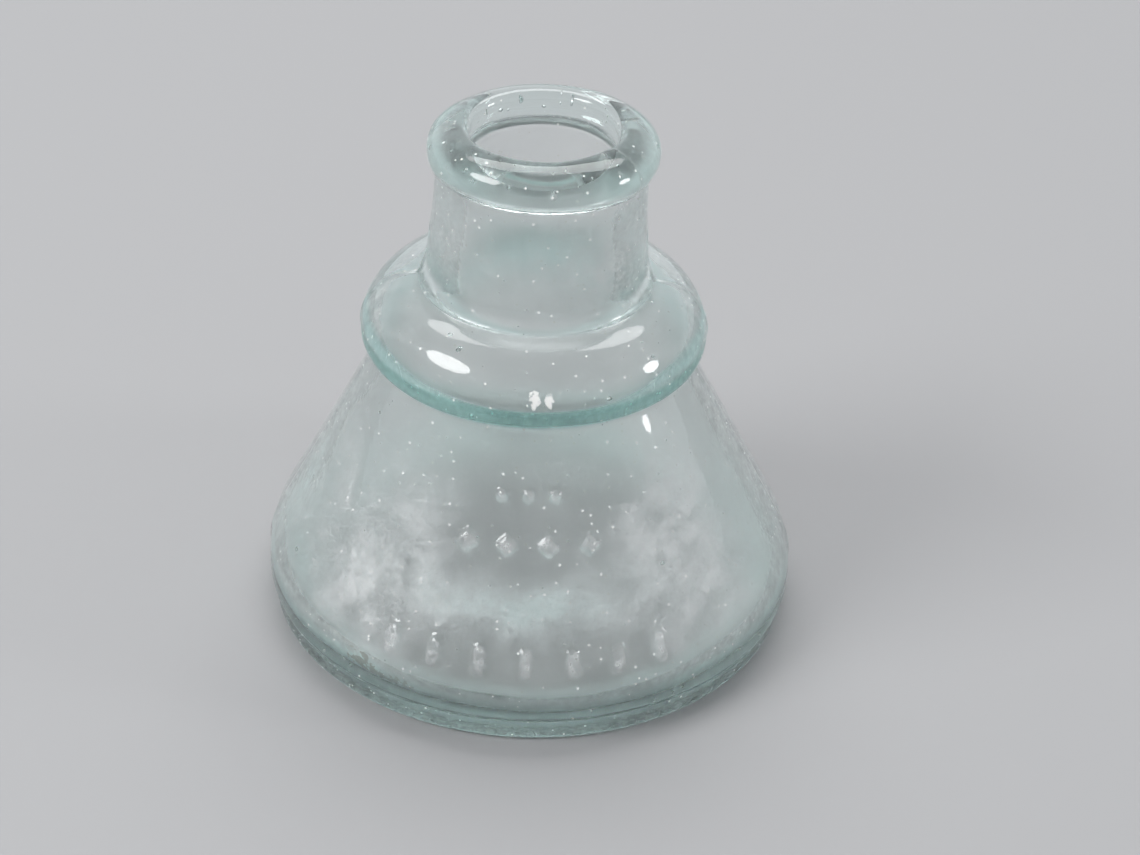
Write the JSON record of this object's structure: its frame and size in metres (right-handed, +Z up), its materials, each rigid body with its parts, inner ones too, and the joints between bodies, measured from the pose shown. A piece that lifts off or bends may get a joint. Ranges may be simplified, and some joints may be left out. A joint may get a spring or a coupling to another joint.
{
  "type": "cone ink bottle",
  "caption": "Aqua glass cone ink bottle with a shoulder ring, a short neck and an applied lip; holds ink and takes a stopper in its throat.",
  "frame": {"origin": "centre of the face that the bottle rests on", "axes": "+Z up along the bottle's axis to the mouth, -Y towards the ornamented front, +X to the right"},
  "size_m": [0.0634, 0.0634, 0.0618],
  "materials": {
    "body_glass": "clear aqua, hazed inside",
    "lip_glass": "clear aqua, fire polished"
  },
  "bodies": {
    "root": {"glass_body": "body_glass", "applied_lip": "lip_glass"}
  },
  "joints": []
}
